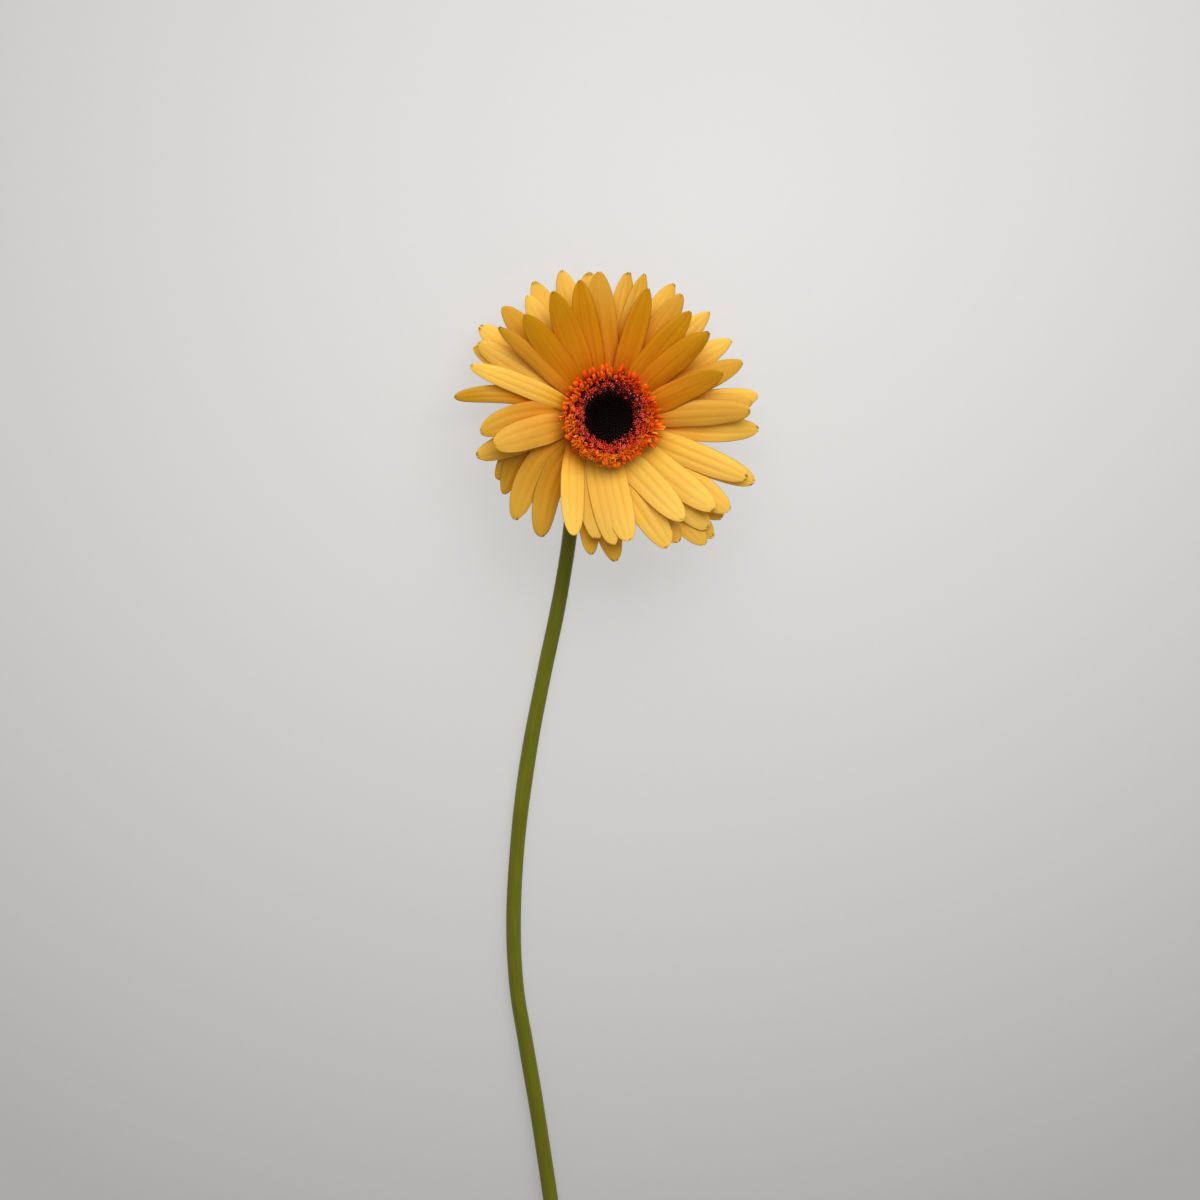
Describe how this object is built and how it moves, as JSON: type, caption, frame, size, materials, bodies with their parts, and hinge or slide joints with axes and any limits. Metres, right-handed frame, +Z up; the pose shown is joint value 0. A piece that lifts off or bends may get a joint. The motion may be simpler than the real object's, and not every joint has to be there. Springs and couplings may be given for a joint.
{
  "type": "gerbera daisy cut flower",
  "caption": "Cut gerbera daisy lying on its curved stem, with yellow petals in loose whorls, an orange and dark red ring of florets and a black eye.",
  "frame": {"origin": "on the surface the flower lies on, under the middle of its bounding box", "axes": "+Y along the stem towards the bloom, +Z up from the surface, +X to the right as seen from above with the bloom at the top"},
  "size_m": [0.1101, 0.3705, 0.0459],
  "materials": {
    "stem_green": "satin",
    "bract_green": "matte",
    "petal_yellow": "satin",
    "floret_orange": "satin",
    "floret_dark_red": "satin",
    "bud_maroon": "matte"
  },
  "bodies": {
    "root": {"stem": "stem_green", "involucre": "bract_green", "ray_florets": "petal_yellow", "trans_florets": "floret_orange", "disc_florets": "floret_dark_red", "disc_eye": "bud_maroon"}
  },
  "joints": []
}
